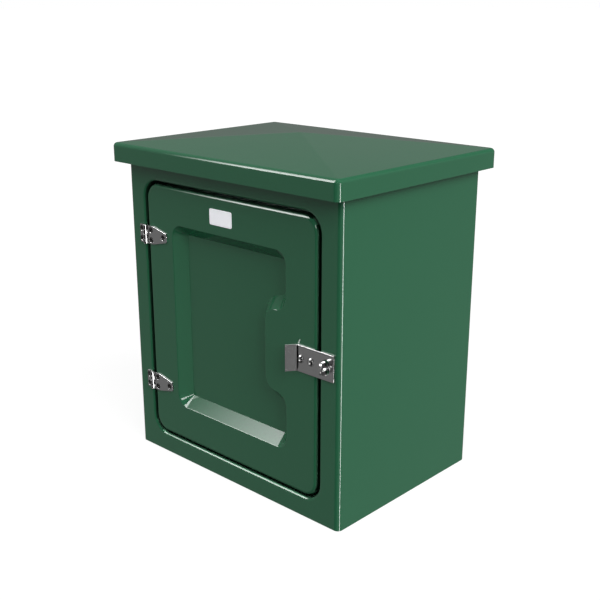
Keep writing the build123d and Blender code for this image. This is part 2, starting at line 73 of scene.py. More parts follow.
class Graph:
    """Places nodes in one shader tree and joins them."""

    def __init__(self, tree: Tree) -> None:
        """Keeps the tree that the nodes go into."""
        self.tree = tree

    def add(self, kind: str, inputs: dict[str | int, Input] | None = None, **settings: object) -> Node:
        """Adds one node.

        Args:
            kind: the node's type, without its ShaderNode prefix.
            inputs: what each input socket takes: a plain value, or the socket that feeds it.
            **settings: the node's own options.

        Returns:
            The new node.
        """
        node = self.tree.nodes.new("ShaderNode" + kind)
        for name, value in settings.items():
            setattr(node, name, value)
        for key, value in (inputs or {}).items():
            self.feed(node, key, value)
        return node

    def feed(self, node: Node, key: str | int, value: Input) -> None:
        """Fills an input.

        Args:
            node: the node.
            key: the input's name or place.
            value: the socket that feeds it, or its plain value.
        """
        if isinstance(value, Socket):
            self.tree.links.new(value, node.inputs[key])
        else:
            node.inputs[key].default_value = value

    def math(self, operation: str, a: Input, b: Input = 0.0) -> Socket:
        """Joins two values by a Math node and returns the result."""
        return self.add("Math", {0: a, 1: b}, operation=operation).outputs[0]

    def times(self, a: Input, b: Input) -> Socket:
        """Returns the product of two values."""
        return self.math("MULTIPLY", a, b)

    def plus(self, a: Input, b: Input) -> Socket:
        """Returns the sum of two values."""
        return self.math("ADD", a, b)

    def weigh(self, a: Input, share_a: float, b: Input, share_b: float) -> Socket:
        """Returns the sum of two values, each times its share."""
        return self.plus(self.times(a, share_a), self.times(b, share_b))

    def inverse(self, value: Input) -> Socket:
        """Returns 1 less the value."""
        return self.math("SUBTRACT", 1.0, value)

    def dot(self, a: Input, b: Input) -> Socket:
        """Returns the dot product of two vectors."""
        return self.add("VectorMath", {0: a, 1: b}, operation="DOT_PRODUCT").outputs["Value"]

    def place(self) -> Socket:
        """Returns the Object coordinates."""
        return self.add("TexCoord").outputs["Object"]

    def normal(self) -> Socket:
        """Returns the surface's own normal in Object coordinates."""
        return self.add("TexCoord").outputs["Normal"]

    def ramp(
        self, value: Input, start: float, end: float, low: float = 0.0, high: float = 1.0
    ) -> Socket:
        """Eases a value from one level to another.

        Args:
            value: what is read.
            start: the value at which the result is low.
            end: the value at which the result is high.
            low: the result up to start.
            high: the result from end on.

        Returns:
            The eased value.
        """
        inputs = {"Value": value, "From Min": start, "From Max": end, "To Min": low, "To Max": high}
        node = self.add("MapRange", inputs, interpolation_type="SMOOTHSTEP", clamp=True)
        return node.outputs["Result"]

    def mix(self, amount: Input, a: Input, b: Input) -> Socket:
        """Returns the colour that goes from a to b as amount goes from 0 to 1."""
        node = self.add("Mix", {0: amount, 6: rgba(a), 7: rgba(b)}, data_type="RGBA")
        return node.outputs[2]

    def blend(self, amount: Input, a: Input, b: Input) -> Socket:
        """Returns the value that goes from a to b as amount goes from 0 to 1."""
        return self.add("Mix", {0: amount, 2: a, 3: b}, data_type="FLOAT").outputs[0]

    def noise(
        self, coords: Input, scale: float | Triple, detail: float = 2.0, roughness: float = 0.5
    ) -> Socket:
        """Returns noise from about 0 to 1.

        Args:
            coords: where it is read.
            scale: how many cells it has in a metre, or in a metre along each axis.
            detail: how many times finer noise is laid over it.
            roughness: how much the finer noise counts.

        Returns:
            The noise.
        """
        if isinstance(scale, tuple):
            coords, scale = self.add("Mapping", {"Vector": coords, "Scale": scale}).outputs[0], 1.0
        inputs = {"Vector": coords, "Scale": scale, "Detail": detail, "Roughness": roughness}
        return self.add("TexNoise", inputs).outputs[0]

    def turned(self, coords: Input, rotation: Triple) -> Socket:
        """Returns the coordinates turned round each axis."""
        return self.add("Mapping", {"Vector": coords, "Rotation": rotation}).outputs[0]

    def split(self, vector: Input) -> tuple[Socket, ...]:
        """Returns a vector's three parts."""
        return tuple(self.add("SeparateXYZ", {0: vector}).outputs)

    def bump(self, height: Input, distance: float, normal: Input | None = None) -> Socket:
        """Turns a height from 0 to 1 into a normal.

        Args:
            height: the height.
            distance: how far a height of 1 stands out, in metres.
            normal: the normal that it starts from.

        Returns:
            The tilted normal.
        """
        inputs = {"Height": height, "Distance": distance, "Strength": 1.0}
        if normal is not None:
            inputs["Normal"] = normal
        return self.add("Bump", inputs).outputs[0]


def rgba(value: Input) -> Input:
    """Gives a colour of three parts its fourth, and leaves a socket as it is."""
    return (*value, 1.0) if isinstance(value, tuple) and len(value) == 3 else value


def shade(colour: Colour, share: float) -> Colour:
    """Returns a share of a colour."""
    return tuple(part * share for part in colour)


class Effects:
    """Shader groups that more than one finish uses, each built once."""

    def __init__(self) -> None:
        """Builds every group."""
        self.edges = self._edges()
        self.brushing = self._brushing()
        self.dust = self._dust()
        self.fibres = self._fibres()
        self.box_mask = self._box_mask()

    @staticmethod
    def _new(name: str, inputs: dict[str, Input], *outputs: str) -> tuple[Graph, Node, Node]:
        """Starts a group.

        Args:
            name: the group's name.
            inputs: each input's name and default; a tuple makes it a vector.
            *outputs: each output's name. Normal is a vector and the others are values.

        Returns:
            The graph, its input node and its output node.
        """
        tree = bpy.data.node_groups.new(name, "ShaderNodeTree")
        for key, default in inputs.items():
            kind = "NodeSocketVector" if isinstance(default, tuple) else "NodeSocketFloat"
            tree.interface.new_socket(name=key, in_out="INPUT", socket_type=kind).default_value = default
        for key in outputs:
            kind = "NodeSocketVector" if key == "Normal" else "NodeSocketFloat"
            tree.interface.new_socket(name=key, in_out="OUTPUT", socket_type=kind)
        return Graph(tree), tree.nodes.new("NodeGroupInput"), tree.nodes.new("NodeGroupOutput")

    def _edges(self) -> Tree:
        """Rounds sharp edges in the shading, and marks them.

        Returns:
            The group. Mask is 1 where the rounded normal has turned most.
        """
        g, inside, out = self._new("edge rounding", {"Radius": 0.4 * MM}, "Normal", "Mask")
        rounded = g.add("Bevel", {"Radius": inside.outputs["Radius"]}, samples=6).outputs[0]
        flat = g.add("NewGeometry").outputs["True Normal"]
        g.feed(out, "Normal", rounded)
        g.feed(out, "Mask", g.ramp(g.dot(rounded, flat), 0.995, 0.8))
        return g.tree

    def _brushing(self) -> Tree:
        """Draws fine lines along local x, as an abrasive belt leaves them.

        Returns:
            The group. Lines is two noises stretched along x, and Cloud a plain one.
        """
        g, inside, out = self._new("brushed lines", {"Vector": ORIGIN}, "Lines", "Cloud")
        coords = inside.outputs["Vector"]
        fine = g.noise(coords, (25.0, 6000.0, 6000.0), 3.0, 0.7)
        coarse = g.noise(coords, (8.0, 900.0, 900.0), 2.0, 0.6)
        g.feed(out, "Lines", g.weigh(fine, 0.65, coarse, 0.35))
        g.feed(out, "Cloud", g.noise(coords, 60.0, 3.0))
        return g.tree

    def _dust(self) -> Tree:
        """Settles dust on what faces up.

        Returns:
            The group. Mask is patchy noise times the amount and the normal's rise.
        """
        g, inside, out = self._new("settled dust", {"Vector": ORIGIN, "Amount": 0.3}, "Mask")
        coords = inside.outputs["Vector"]
        up = g.split(g.normal())[2]
        patches = g.ramp(g.noise(coords, 9.0, 5.0, 0.65), 0.35, 0.75)
        specks = g.ramp(g.noise(coords, 900.0, 1.0), 0.62, 0.72)
        mask = g.times(g.ramp(up, 0.15, 0.95), g.weigh(patches, 0.7, specks, 0.5))
        g.feed(out, "Mask", g.times(mask, inside.outputs["Amount"]))
        return g.tree

    def _fibres(self) -> Tree:
        """Lays chopped strand mat under resin: three sets of strands, the highest one on top.

        Returns:
            The group.
        """
        g, inside, out = self._new("strand mat", {"Vector": ORIGIN}, "Height", "Tone")
        coords = inside.outputs["Vector"]
        height: Input = 0.0
        for turn in (0.3, 1.4, 2.5):
            turned = g.turned(coords, (turn, turn * 0.7, turn * 1.3))
            strands = g.noise(turned, (45.0, 700.0, 700.0), 1.0)
            height = g.math("MAXIMUM", height, g.ramp(strands, 0.48, 0.72))
        pooled = g.noise(coords, 35.0, 3.0)
        g.feed(out, "Height", g.blend(g.ramp(pooled, 0.35, 0.7), height, 0.5))
        g.feed(out, "Tone", g.weigh(height, 0.5, pooled, 0.5))
        return g.tree

    def _box_mask(self) -> Tree:
        """Marks the inside of an upright box.

        Returns:
            The group. Mask is the product of a step on each axis.
        """
        g, inside, out = self._new("inside a box", {"Vector": ORIGIN, "Middle": ORIGIN, "Half": ORIGIN}, "Mask")
        places = {0: inside.outputs["Vector"], 1: inside.outputs["Middle"]}
        offset = g.add("VectorMath", places, operation="SUBTRACT").outputs[0]
        away = g.split(g.add("VectorMath", {0: offset}, operation="ABSOLUTE").outputs[0])
        mask: Input = 1.0
        for distance, half in zip(away, g.split(inside.outputs["Half"])):
            mask = g.times(mask, g.math("LESS_THAN", distance, half))
        g.feed(out, "Mask", mask)
        return g.tree


class Canvas(Graph):
    """The graph of a finish's material, with its shader, Object coordinates and the shared groups."""

    def __init__(self, tree: Tree, effects: Effects) -> None:
        """Finds the shader and reads the coordinates.

        Args:
            tree: the material's tree.
            effects: the shared groups.
        """
        super().__init__(tree)
        self.effects = effects
        self.shader = tree.nodes["Principled BSDF"]
        self.coords = self.place()

    def effect(self, group: Tree, **inputs: Input) -> Node:
        """Places a shared group.

        Args:
            group: the group.
            **inputs: what its inputs take. A Vector takes the Object coordinates if left out.

        Returns:
            The group's node.
        """
        node = self.add("Group", node_tree=group)
        places = {"Vector": self.coords} if "Vector" in node.inputs else {}
        for key, value in {**places, **inputs}.items():
            self.feed(node, key, value)
        return node

    def coat(self, base: Input, roughness: Input, normal: Input, metallic: Input = 0.0) -> None:
        """Feeds the shader.

        Args:
            base: its base colour.
            roughness: its roughness.
            normal: its normal.
            metallic: how metallic it is.
        """
        inputs = {"Base Color": base, "Roughness": roughness, "Normal": normal, "Metallic": metallic}
        for key, value in inputs.items():
            self.feed(self.shader, key, value)


# Finishes


@dataclass(frozen=True)
class Finish:
    """What one surface is made of. Each kind of finish fills in paint()."""

    name: str

    def material(self, effects: Effects) -> bpy.types.Material:
        """Makes the finish's material, or returns the one that was made before.

        Args:
            effects: the shared shader groups.

        Returns:
            The material.
        """
        made = bpy.data.materials.get(self.name)
        if made is not None:
            return made
        made = bpy.data.materials.new(self.name)
        made.use_nodes = True
        self.paint(Canvas(made.node_tree, effects))
        return made

    def paint(self, g: Canvas) -> None:
        """Joins the finish's nodes to its shader."""
        raise NotImplementedError


class Region(Enum):
    """The mouldings that the gelcoat covers."""

    BODY = "body"
    DOOR = "door"
    ROOF = "roof"


@dataclass(frozen=True)
class Zone:
    """An upright box that part of a moulding lies in, in metres."""

    middle: Triple
    half: Triple

    def mask(self, g: Canvas) -> Socket:
        """Returns a mask that is 1 inside the zone."""
        return g.effect(g.effects.box_mask, Middle=self.middle, Half=self.half).outputs[0]


ROOM = Zone((0.0, 0.0, 0.2825), (0.2458, 0.1733, 0.2784))
DOORWAY = Zone((0.0, -0.1775, 0.2743), (0.2086, 0.0286, 0.2394))
DOOR_INSIDE = Zone((0.0, -0.1630, 0.2743), (0.1985, 0.0103, 0.2293))
DISH = Zone((0.0, -0.1630, 0.2743), (0.1450, 0.0200, 0.1750))
FASCIA_INSIDE = Zone((0.0, 0.0, 0.5620), (0.2597, 0.1982, 0.0207))
ATTIC = Zone((0.0, 0.0, 0.5800), (0.2165, 0.1440, 0.0116))
GAP_OUTSIDE = Zone((0.0, -0.1600, 0.2743), (0.2140, 0.0200, 0.2447))
GAP_INSIDE = Zone((0.0, -0.1600, 0.2743), (0.1975, 0.0300, 0.2282))


@dataclass(frozen=True)
class Gelcoat(Finish):
    """Glossy moulded face over a duller strand laminate on the moulding's inner side.

    Painted shade in the gap round the door, a darker colour that stands in for the shade that falls
    there, comes in over the y values in painted_shade_starts and goes out over those in
    painted_shade_ends. The roof's inner faces have a normal z below inner_lean, and the
    door's back faces a normal y above it.
    """

    region: Region = Region.BODY
    colour: Colour = (0.030, 0.160, 0.078)
    laminate: Colour = (0.040, 0.105, 0.062)
    strand: Colour = (0.096, 0.2195, 0.1378)
    dust_colour: Colour = (0.34, 0.36, 0.33)
    dust: float = 0.02
    gloss: float = 0.05
    haze: float = 0.02
    laminate_roughness: float = 0.48
    inner_lean: float = 0.3
    # painted shade in the door gap: where it starts and ends in y, the share of the colour left there, its
    # metallic sheen and its roughness
    painted_shade_starts: tuple[float, float] = (-0.1763, -0.1754)
    painted_shade_ends: tuple[float, float] = (-0.1690, -0.1640)
    painted_shade_tone: float = 0.22
    painted_shade_sheen: float = 0.8
    painted_shade_roughness: float = 0.4
    ripple: float = 0.06
    relief: float = 0.35 * MM

    def inner_side(self, g: Canvas) -> Socket:
        """Marks the moulding's inner side.

        Args:
            g: the graph.

        Returns:
            A mask that is 1 on the laminate.
        """
        if self.region is Region.BODY:
            return g.times(ROOM.mask(g), g.inverse(DOORWAY.mask(g)))
        _, north, up = g.split(g.normal())
        if self.region is Region.DOOR:
            edge = g.times(DOOR_INSIDE.mask(g), g.inverse(DISH.mask(g)))
            return g.math("MAXIMUM", g.math("GREATER_THAN", north, self.inner_lean), edge)
        under = g.math("MAXIMUM", FASCIA_INSIDE.mask(g), ATTIC.mask(g))
        return g.times(under, g.math("LESS_THAN", up, self.inner_lean))

    def painted_gap_shade(self, g: Canvas) -> Socket:
        """Marks where shade is painted in the gap round the door, deeper than a millimetre.

        Args:
            g: the graph.

        Returns:
            A mask that is 1 in the gap.
        """
        north = g.split(g.coords)[1]
        depth = g.times(g.ramp(north, *self.painted_shade_starts), g.ramp(north, *self.painted_shade_ends, 1.0, 0.0))
        if self.region is Region.BODY:
            return g.times(depth, GAP_OUTSIDE.mask(g))
        return g.times(depth, g.inverse(GAP_INSIDE.mask(g)))

    def paint(self, g: Canvas) -> None:
        """Lays a faintly uneven gloss outside with painted shade in the gap round the door, and strands under
        resin on the inner side.

        Args:
            g: the graph.
        """
        inner = self.inner_side(g)
        dust = g.effect(g.effects.dust, Amount=self.dust).outputs[0]
        outside = g.mix(g.noise(g.coords, 4.0, 3.0), self.colour, shade(self.colour, 0.95))
        outside = g.mix(dust, outside, self.dust_colour)
        haze = g.times(g.noise(g.coords, 30.0, 4.0), self.haze)
        roughness = g.plus(g.plus(self.gloss - self.haze / 2, haze), dust)
        metallic: Input = 0.0
        if self.region is not Region.ROOF:
            # painted shade: the gap round the door is darkened, made rougher and partly metallic, standing in
            # for the shade that falls there; the roof has none
            painted_gap_shade = self.painted_gap_shade(g)
            outside = g.mix(painted_gap_shade, outside, shade(self.colour, self.painted_shade_tone))
            roughness = g.blend(painted_gap_shade, roughness, self.painted_shade_roughness)
            metallic = g.times(painted_gap_shade, g.times(g.inverse(inner), self.painted_shade_sheen))
        mat = g.effect(g.effects.fibres)
        base = g.mix(inner, outside, g.mix(mat.outputs["Tone"], self.laminate, self.strand))
        roughness = g.blend(inner, roughness, self.laminate_roughness)
        waves = g.weigh(g.noise(g.coords, 14.0, 1.0), 0.96, g.noise(g.coords, 520.0, 1.0), 0.04)
        height = g.blend(inner, g.times(waves, self.ripple), mat.outputs["Height"])
        g.coat(base, roughness, g.bump(height, self.relief), metallic)


class Lay(Enum):
    """The way that a metal piece's brushed lines run."""

    ALONG_X = (0.0, 0.0, 0.0)
    ALONG_Z = (0.0, math.pi / 2, 0.0)


@dataclass(frozen=True)
class BrushedMetal(Finish):
    """Sheet or turned metal with fine brushed lines, and rounded edges whose lighter base colour is a painted
    highlight.
    """

    colour: Colour = (0.46, 0.46, 0.46)
    painted_edge_highlight: Colour = (0.75, 0.75, 0.75)
    roughness: float = 0.07
    edge_radius: float = 0.7 * MM
    scratch: float = 0.002 * MM
    lay: Lay = Lay.ALONG_X

    def paint(self, g: Canvas) -> None:
        """Brushes the faces and paints a highlight on the edges.

        Args:
            g: the graph.
        """
        brushed = g.effect(g.effects.brushing, Vector=g.turned(g.coords, self.lay.value))
        edges = g.effect(g.effects.edges, Radius=self.edge_radius)
        lines, cloud = brushed.outputs["Lines"], brushed.outputs["Cloud"]
        face = g.mix(g.weigh(cloud, 0.5, lines, 0.5), shade(self.colour, 0.82), self.colour)
        # painted highlight: the edges' base colour is lighter, on top of the real highlight that their rounded
        # normal catches
        base = g.mix(edges.outputs["Mask"], face, self.painted_edge_highlight)
        worn = g.ramp(lines, 0.3, 0.7, self.roughness - 0.02, self.roughness + 0.03)
        normal = g.bump(lines, self.scratch, edges.outputs["Normal"])
        g.coat(base, g.plus(worn, g.times(cloud, 0.04)), normal, 1.0)


@dataclass(frozen=True)
class BlackOxide(Finish):
    """Blackened fastener steel, worn to bare metal on its edges."""

    colour: Colour = (0.018, 0.018, 0.019)
    blotch: Colour = (0.04, 0.038, 0.036)
    bare: Colour = (0.35, 0.34, 0.33)

    def paint(self, g: Canvas) -> None:
        """Blackens the steel and wears its edges through a noise.

        Args:
            g: the graph.
        """
        edges = g.effect(g.effects.edges, Radius=0.25 * MM)
        grain = g.noise(g.coords, 2500.0, 3.0)
        worn = g.times(edges.outputs["Mask"], g.ramp(grain, 0.35, 0.6))
        base = g.mix(worn, g.mix(grain, self.colour, self.blotch), self.bare)
        normal = g.bump(grain, 0.01 * MM, edges.outputs["Normal"])
        g.coat(base, g.ramp(grain, 0.2, 0.8, 0.32, 0.5), normal, 0.8)


@dataclass(frozen=True)
class Rubber(Finish):
    """Matt black sealing rubber with a fine skin and a little dust."""

    colour: Colour = (0.012, 0.012, 0.013)
    grey: Colour = (0.022, 0.022, 0.023)
    dust: Colour = (0.16, 0.155, 0.145)

    def paint(self, g: Canvas) -> None:
        """Gives the rubber its skin and dust.

        Args:
            g: the graph.
        """
        skin = g.noise(g.coords, 1800.0, 4.0, 0.6)
        dust = g.effect(g.effects.dust, Amount=0.35).outputs[0]
        base = g.mix(dust, g.mix(skin, self.colour, self.grey), self.dust)
        g.coat(base, g.ramp(skin, 0.2, 0.8, 0.55, 0.75), g.bump(skin, 0.02 * MM))


@dataclass(frozen=True)
class Timber(Finish):
    """Planed softwood with growth rings that run along x."""

    early: Colour = (0.56, 0.40, 0.23)
    late: Colour = (0.34, 0.20, 0.09)
    rings: float = 700.0
    sway: float = 14.0

    def paint(self, g: Canvas) -> None:
        """Draws growth rings as a wave across the grain, bent by a slow noise.

        Args:
            g: the graph.
        """
        drift = g.noise(g.coords, (3.0, 25.0, 25.0), 3.0)
        _, y, z = g.split(g.coords)
        ring = g.math("SINE", g.weigh(g.plus(z, g.times(y, 0.6)), self.rings, drift, self.sway))
        pores = g.noise(g.coords, (40.0, 2200.0, 2200.0), 2.0)
        grain = g.ramp(g.weigh(ring, 0.35, pores, 0.8), 0.1, 0.95)
        base = g.mix(grain, self.early, self.late)
        g.coat(base, g.ramp(pores, 0.3, 0.7, 0.5, 0.68), g.bump(grain, 0.08 * MM))


@dataclass(frozen=True)
class Plywood(Finish):
    """Sealed birch ply: long face grain, and layered veneers on its edges."""

    face: Colour = (0.58, 0.42, 0.25)
    dark: Colour = (0.40, 0.26, 0.13)
    veneer: float = 1.33 * MM

    def paint(self, g: Canvas) -> None:
        """Draws face grain on what faces the door, and a band for each veneer elsewhere.

        Args:
            g: the graph.
        """
        facing = g.math("ABSOLUTE", g.split(g.normal())[1])
        long = g.noise(g.coords, (5.0, 60.0, 110.0), 5.0, 0.6)
        long = g.weigh(long, 0.8, g.noise(g.coords, 6.0, 2.0), 0.2)
        flecks = g.noise(g.coords, (90.0, 1500.0, 1500.0), 2.0)
        grain = g.ramp(g.weigh(long, 1.0, flecks, 0.3), 0.4, 0.95)
        front = g.mix(grain, self.face, self.dark)
        depth = g.times(g.split(g.coords)[1], math.pi / self.veneer)
        layer = g.ramp(g.math("SINE", depth), -0.25, 0.25)
        edge = g.mix(layer, shade(self.face, 0.8), shade(self.dark, 0.55))
        edge = g.mix(g.times(flecks, 0.4), edge, self.dark)
        base = g.mix(g.math("GREATER_THAN", facing, 0.7), edge, front)
        normal = g.bump(g.weigh(grain, 1.0, layer, 0.3), 0.06 * MM)
        g.coat(base, g.ramp(flecks, 0.3, 0.7, 0.38, 0.52), normal)


@dataclass(frozen=True)
class Nylon(Finish):
    """Turned black nylon, slightly waxy."""

    colour: Colour = (0.030, 0.030, 0.031)
    grey: Colour = (0.05, 0.05, 0.052)

    def paint(self, g: Canvas) -> None:
        """Gives the nylon its turning marks.

        Args:
            g: the graph.
        """
        marks = g.noise(g.coords, (300.0, 4000.0, 300.0), 2.0)
        base = g.mix(marks, self.colour, self.grey)
        g.coat(base, g.ramp(marks, 0.2, 0.8, 0.35, 0.5), g.bump(marks, 0.01 * MM))


@dataclass(frozen=True)
class BlankPlate(Finish):
    """Blank white laminated plate with a fine grey line inside its edge, and a painted glow: it gives off light
    of its own though it is no lamp.
    """

    middle: Triple = (-0.011, -0.1782, 0.4724)
    half_width: float = 26.4 * MM
    half_height: float = 13.44 * MM
    margin: float = 1.3 * MM
    line: float = 0.35 * MM
    white: Colour = (0.76, 0.77, 0.80)
    grey: Colour = (0.42, 0.43, 0.45)
    painted_glow: float = 0.55

    def paint(self, g: Canvas) -> None:
        """Draws the line as the difference of two boxes.

        Args:
            g: the graph.
        """
        half = (self.half_width, self.half_height)
        masks = []
        for inset in (self.margin, self.margin + self.line):
            masks.append(Zone(self.middle, (half[0] - inset, 1.0, half[1] - inset)).mask(g))
        paper = g.noise(g.coords, 700.0, 3.0)
        plain = g.mix(paper, self.white, shade(self.white, 0.96))
        base = g.mix(g.math("SUBTRACT", *masks), plain, self.grey)
        edges = g.effect(g.effects.edges, Radius=0.2 * MM)
        normal = g.bump(paper, 0.006 * MM, edges.outputs["Normal"])
        g.coat(base, g.ramp(paper, 0.2, 0.8, 0.28, 0.36), normal)
        # painted light: the plate glows with its own white though it is no lamp
        g.feed(g.shader, "Emission Color", plain)
        g.feed(g.shader, "Emission Strength", self.painted_glow)


class Finishes:
    """Every finish of the cabinet, and the way that it gets onto an object."""

    def __init__(self, effects: Effects) -> None:
        """Names the finishes.

        Args:
            effects: the shared shader groups.
        """
        self.effects = effects
        self.body = Gelcoat("green_gelcoat_body", Region.BODY)
        self.door = Gelcoat("green_gelcoat_door", Region.DOOR)
        self.roof = Gelcoat("green_gelcoat_roof", Region.ROOF)
        self.sheet = BrushedMetal("stainless_sheet")
        self.turned = BrushedMetal("stainless_turned", lay=Lay.ALONG_Z)
        # the zinc's second colour is its painted edge highlight
        self.zinc = BrushedMetal("zinc_plate", (0.55, 0.55, 0.52), (0.8, 0.8, 0.76), 0.34)
        self.black = BlackOxide("black_oxide")
        self.rubber = Rubber("seal_rubber")
        self.timber = Timber("planed_softwood")
        self.ply = Plywood("birch_ply")
        self.nylon = Nylon("black_nylon")
        self.plate = BlankPlate("blank_plate")

    def dress(self, obj: Object, finish: Finish) -> None:
        """Puts a finish on all of an object's material slots.

        Args:
            obj: the object.
            finish: what it is made of.
        """
        material = finish.material(self.effects)
        if not obj.material_slots:
            obj.data.materials.append(material)
        for slot in obj.material_slots:
            slot.material = material
        LOG.info("%s takes %s", obj.name, finish.name)

    def dress_nodes(self, finish: Finish, *names: str) -> None:
        """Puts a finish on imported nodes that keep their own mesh."""
        for name in names:
            self.dress(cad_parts[name], finish)


# Shapes


class Facing(Enum):
    """Which way a turned piece's outer end faces: the axes that its local x, y and z take."""

    OUT = ((1, 0, 0), (0, 0, 1), (0, -1, 0))
    IN = ((1, 0, 0), (0, 0, -1), (0, 1, 0))
    UP = ((1, 0, 0), (0, 1, 0), (0, 0, 1))
    DOWN = ((1, 0, 0), (0, -1, 0), (0, 0, -1))


@dataclass(frozen=True)
class Box:
    """The box of one solid, in metres."""

    low: Triple
    high: Triple

    @property
    def middle(self) -> np.ndarray:
        """The box's middle."""
        return (np.array(self.low) + np.array(self.high)) / 2

    @property
    def size(self) -> np.ndarray:
        """The box's size."""
        return np.array(self.high) - np.array(self.low)

    def end(self, facing: Facing) -> np.ndarray:
        """The middle of the side that faces that way."""
        return self.middle + np.array(facing.value[2]) * self.size / 2


def solids_of(node: str) -> list[Box]:
    """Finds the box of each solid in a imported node.

    Corners at the same micrometre get one number. Each corner then takes the lowest number of its
    triangle, over and over, until every solid has one number of its own.

    Args:
        node: the node's name.

    Returns:
        One box for each solid.
    """
    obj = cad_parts[node]
    count = len(obj.data.vertices)
    points = np.empty(count * 3)
    obj.data.vertices.foreach_get("co", points)
    place = np.array(obj.matrix_world)
    points = points.reshape(-1, 3) @ place[:3, :3].T + place[:3, 3]
    corners = np.empty(len(obj.data.loops), dtype=np.int64)
    obj.data.loops.foreach_get("vertex_index", corners)
    _, shared = np.unique(np.round(points * 1e6).astype(np.int64), axis=0, return_inverse=True)
    triangles = shared.reshape(-1)[corners].reshape(-1, 3)
    labels = np.arange(shared.max() + 1)
    while True:
        lowest = np.repeat(labels[triangles].min(axis=1), 3)
        new = labels.copy()
        np.minimum.at(new, triangles.ravel(), lowest)
        new = new[new]
        if np.array_equal(new, labels):
            break
        labels = new
    owner = labels[shared.reshape(-1)]
    boxes = []
    for label in np.unique(owner):
        own = points[owner == label]
        boxes.append(Box(tuple(own.min(axis=0)), tuple(own.max(axis=0))))
    return boxes


def length_of(node: str, axis: int = 1) -> float:
    """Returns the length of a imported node's first solid along an axis."""
    return float(solids_of(node)[0].size[axis])


@dataclass
class Turning:
    """A surface turned round an axis, row by row from its outer end.

    A row is (radius, height, hexagon share, thread share, limit). At angle a the radius is the
    row's radius, widened to a hexagon's by its share, less the thread's depth times a sawtooth of
    height over pitch plus a over a full turn, and never more than the limit.
    """

    pitch: float = 0.8 * MM
    depth: float = 0.45 * MM
    segments: int = 36
    rows: list[tuple[float, float, float, float, float]] = field(default_factory=list)

    def ring(
        self, radius: float, height: float, hexagon: float = 0.0, thread: float = 0.0, limit: float = 1.0
    ) -> Turning:
        """Adds a row and returns the turning."""
        self.rows.append((radius, height, hexagon, thread, limit))
        return self

    def rings(self, *rows: tuple[float, ...]) -> Turning:
        """Adds rows.

        Args:
            *rows: the rows, each as ring() takes it.

        Returns:
            The turning.
        """
        for row in rows:
            self.ring(*row)
        return self

    def raised(self, height: float) -> Turning:
        """Moves all the rows up by a height and returns the turning."""
        self.rows = [(radius, level + height, *rest) for radius, level, *rest in self.rows]
        return self

    def thread(self, radius: float, start: float, end: float) -> Turning:
        """Adds a threaded length.

        Args:
            radius: the radius over the thread.
            start: the height of its upper end.
            end: the height of its lower end.

        Returns:
            The turning.
        """
        rows_per_turn = 6
        count = max(2, int(abs(end - start) / self.pitch * rows_per_turn))
        for height in np.linspace(start, end, count):
            self.ring(radius, float(height), 0.0, 1.0)
        return self

    def grid(self, place: np.ndarray, facing: Facing) -> np.ndarray:
        """Works out the points.

        Args:
            place: the place of height 0 on the axis.
            facing: the way that the outer end faces.

        Returns:
            Rows by segments by 3 coordinates.
        """
        radius, height, hexagon, thread, limit = (column[:, None] for column in np.array(self.rows).T)
        angle = np.linspace(0.0, 2 * math.pi, self.segments, endpoint=False)[None, :]
        corner = 1 / np.cos(np.mod(angle, math.pi / 3) - math.pi / 6)
        turns = np.mod(height / self.pitch + angle / (2 * math.pi), 1.0)
        reach = radius * (1 + hexagon * (corner - 1)) - thread * self.depth * np.abs(2 * turns - 1)
        reach = np.minimum(reach, limit)
        local = np.stack([reach * np.cos(angle), reach * np.sin(angle), height + 0 * angle], axis=-1)
        return local @ np.array(facing.value, dtype=float) + place


def hex_nut(across: float, height: float, bore: float) -> Turning:
    """Turns a nut whose corners are cut at 30 degrees, from 95 % of its half width at its ends.

    Args:
        across: the width across its flats.
        height: its height.
        bore: the radius of its hole.

    Returns:
        The turning.
    """
    half, slope = across / 2, math.sqrt(3.0)
    cut = 0.12 * half
    nut = Turning().ring(bore, 0.0)
    for level in (0.0, cut / 2, cut, height - cut, height - cut / 2, height):
        limit = 0.95 * half + min(level, height - level) * slope
        nut.ring(half, -level, 1.0, 0.0, limit)
    return nut.rings((bore, -height), (bore, 0.0))


def washer(outer: float, height: float, inner: float) -> Turning:
    """Turns a flat ring with its outer corners cut.

    Args:
        outer: its outer radius.
        height: its thickness.
        inner: its inner radius.

    Returns:
        The turning.
    """
    rim = outer - EDGE_CUT
    face = ((inner, 0.0), (rim, 0.0), (outer, -EDGE_CUT))
    back = ((outer, EDGE_CUT - height), (rim, -height), (inner, -height))
    return Turning().rings(*face, *back, (inner, 0.0))


def shank_end(turning: Turning, shank: float, start: float, length: float) -> Turning:
    """Adds a threaded shank from start down to a cut tip at the length, and returns the turning."""
    turning.thread(shank, start, 0.4 * MM - length)
    return turning.rings((shank - 0.5 * MM, -length), (0.0, -length))


def countersunk_screw(head: float, shank: float, socket: float, depth: float, length: float) -> Turning:
    """Turns a cone of 45 degrees under a flat head, and a threaded shank.

    Args:
        head: the head's radius.
        shank: the shank's radius.
        socket: the half width of the hexagon socket.
        depth: the socket's depth.
        length: the length over all.

    Returns:
        The turning.
    """
    lip, rim, plain = 0.15 * MM, 0.35 * MM, 0.6 * MM
    neck = head - shank + rim
    screw = Turning().rings((0.0, -depth * 1.2), (socket, -depth, 1.0), (socket, -EDGE_CUT, 1.0))
    screw.rings((socket * 1.22, 0.0), (head - 0.2 * MM, 0.0), (head, -lip), (head, -rim))
    screw.rings((shank, -neck), (shank, -neck - plain))
    return shank_end(screw, shank, -neck - plain, length)


